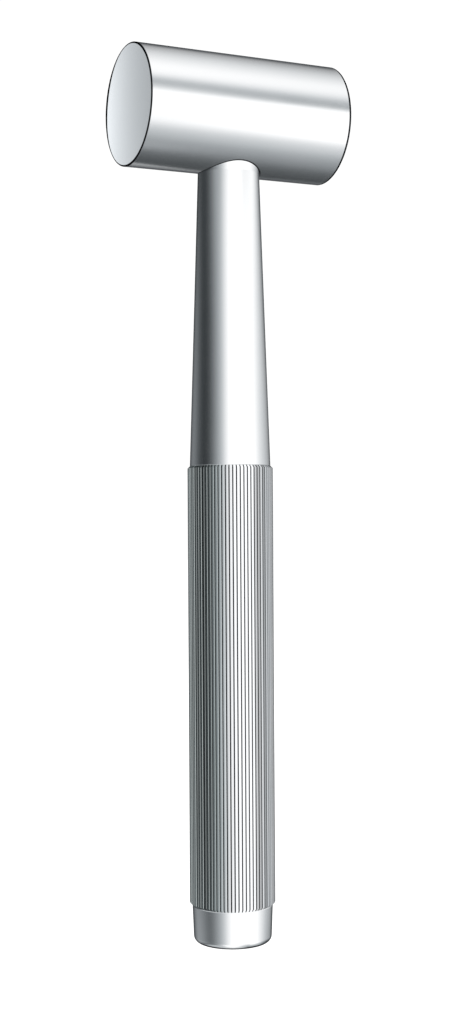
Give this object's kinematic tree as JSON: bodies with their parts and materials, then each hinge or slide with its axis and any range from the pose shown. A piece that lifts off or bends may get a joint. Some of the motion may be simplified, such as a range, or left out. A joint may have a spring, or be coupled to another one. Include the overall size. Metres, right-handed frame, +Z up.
{
  "type": "steel clinical hammer",
  "caption": "All-steel hammer with a plain cylindrical head, tapered neck, lengthwise fluted grip and screwed butt cap, for light controlled blows in clinical work.",
  "frame": {"origin": "centre of the butt cap's end face, at the bottom of the upright hammer", "axes": "+Z up the handle towards the head, +X along the head towards one striking face, +Y to the back, where the head's locking pin shows"},
  "size_m": [0.0546, 0.03, 0.2229],
  "materials": {
    "polished_steel": "bright polished stainless steel",
    "fluted_steel": "bright stainless steel, fluted lengthwise",
    "rod_steel": "turned stainless steel",
    "pin_steel": "ground stainless steel",
    "spring_steel": "spring steel, satin",
    "seal_rubber": "matte black elastomer",
    "bush_plastic": "natural heat-resistant plastic"
  },
  "bodies": {
    "hammer": {"head": "polished_steel", "head_lock_pin": "pin_steel", "neck_dowel": "pin_steel", "draw_rod": "rod_steel", "neck": "polished_steel", "neck_seal_ring": "seal_rubber", "grip_sleeve": "fluted_steel", "grip_seal_ring": "seal_rubber", "grip_key": "pin_steel", "rod_centring_bush": "bush_plastic"},
    "spring_stack": {"disc_springs": "spring_steel"},
    "butt_cap": {"end_cap": "polished_steel", "cap_seal_ring": "seal_rubber"}
  },
  "joints": [
    {"name": "cap_travel", "type": "slide", "parent": "hammer", "child": "spring_stack", "axis": [0, 0, -1], "range_m": [0, 0.01625]},
    {"name": "cap_turn", "type": "hinge", "parent": "spring_stack", "child": "butt_cap", "pos_m": [0, 0, 0.01], "axis": [0, 0, -1], "range_deg": [0, 4680]}
  ],
  "couplings": [
    {"joint": "cap_turn", "follows": "cap_travel", "rad_per_m": 5026.5}
  ]
}
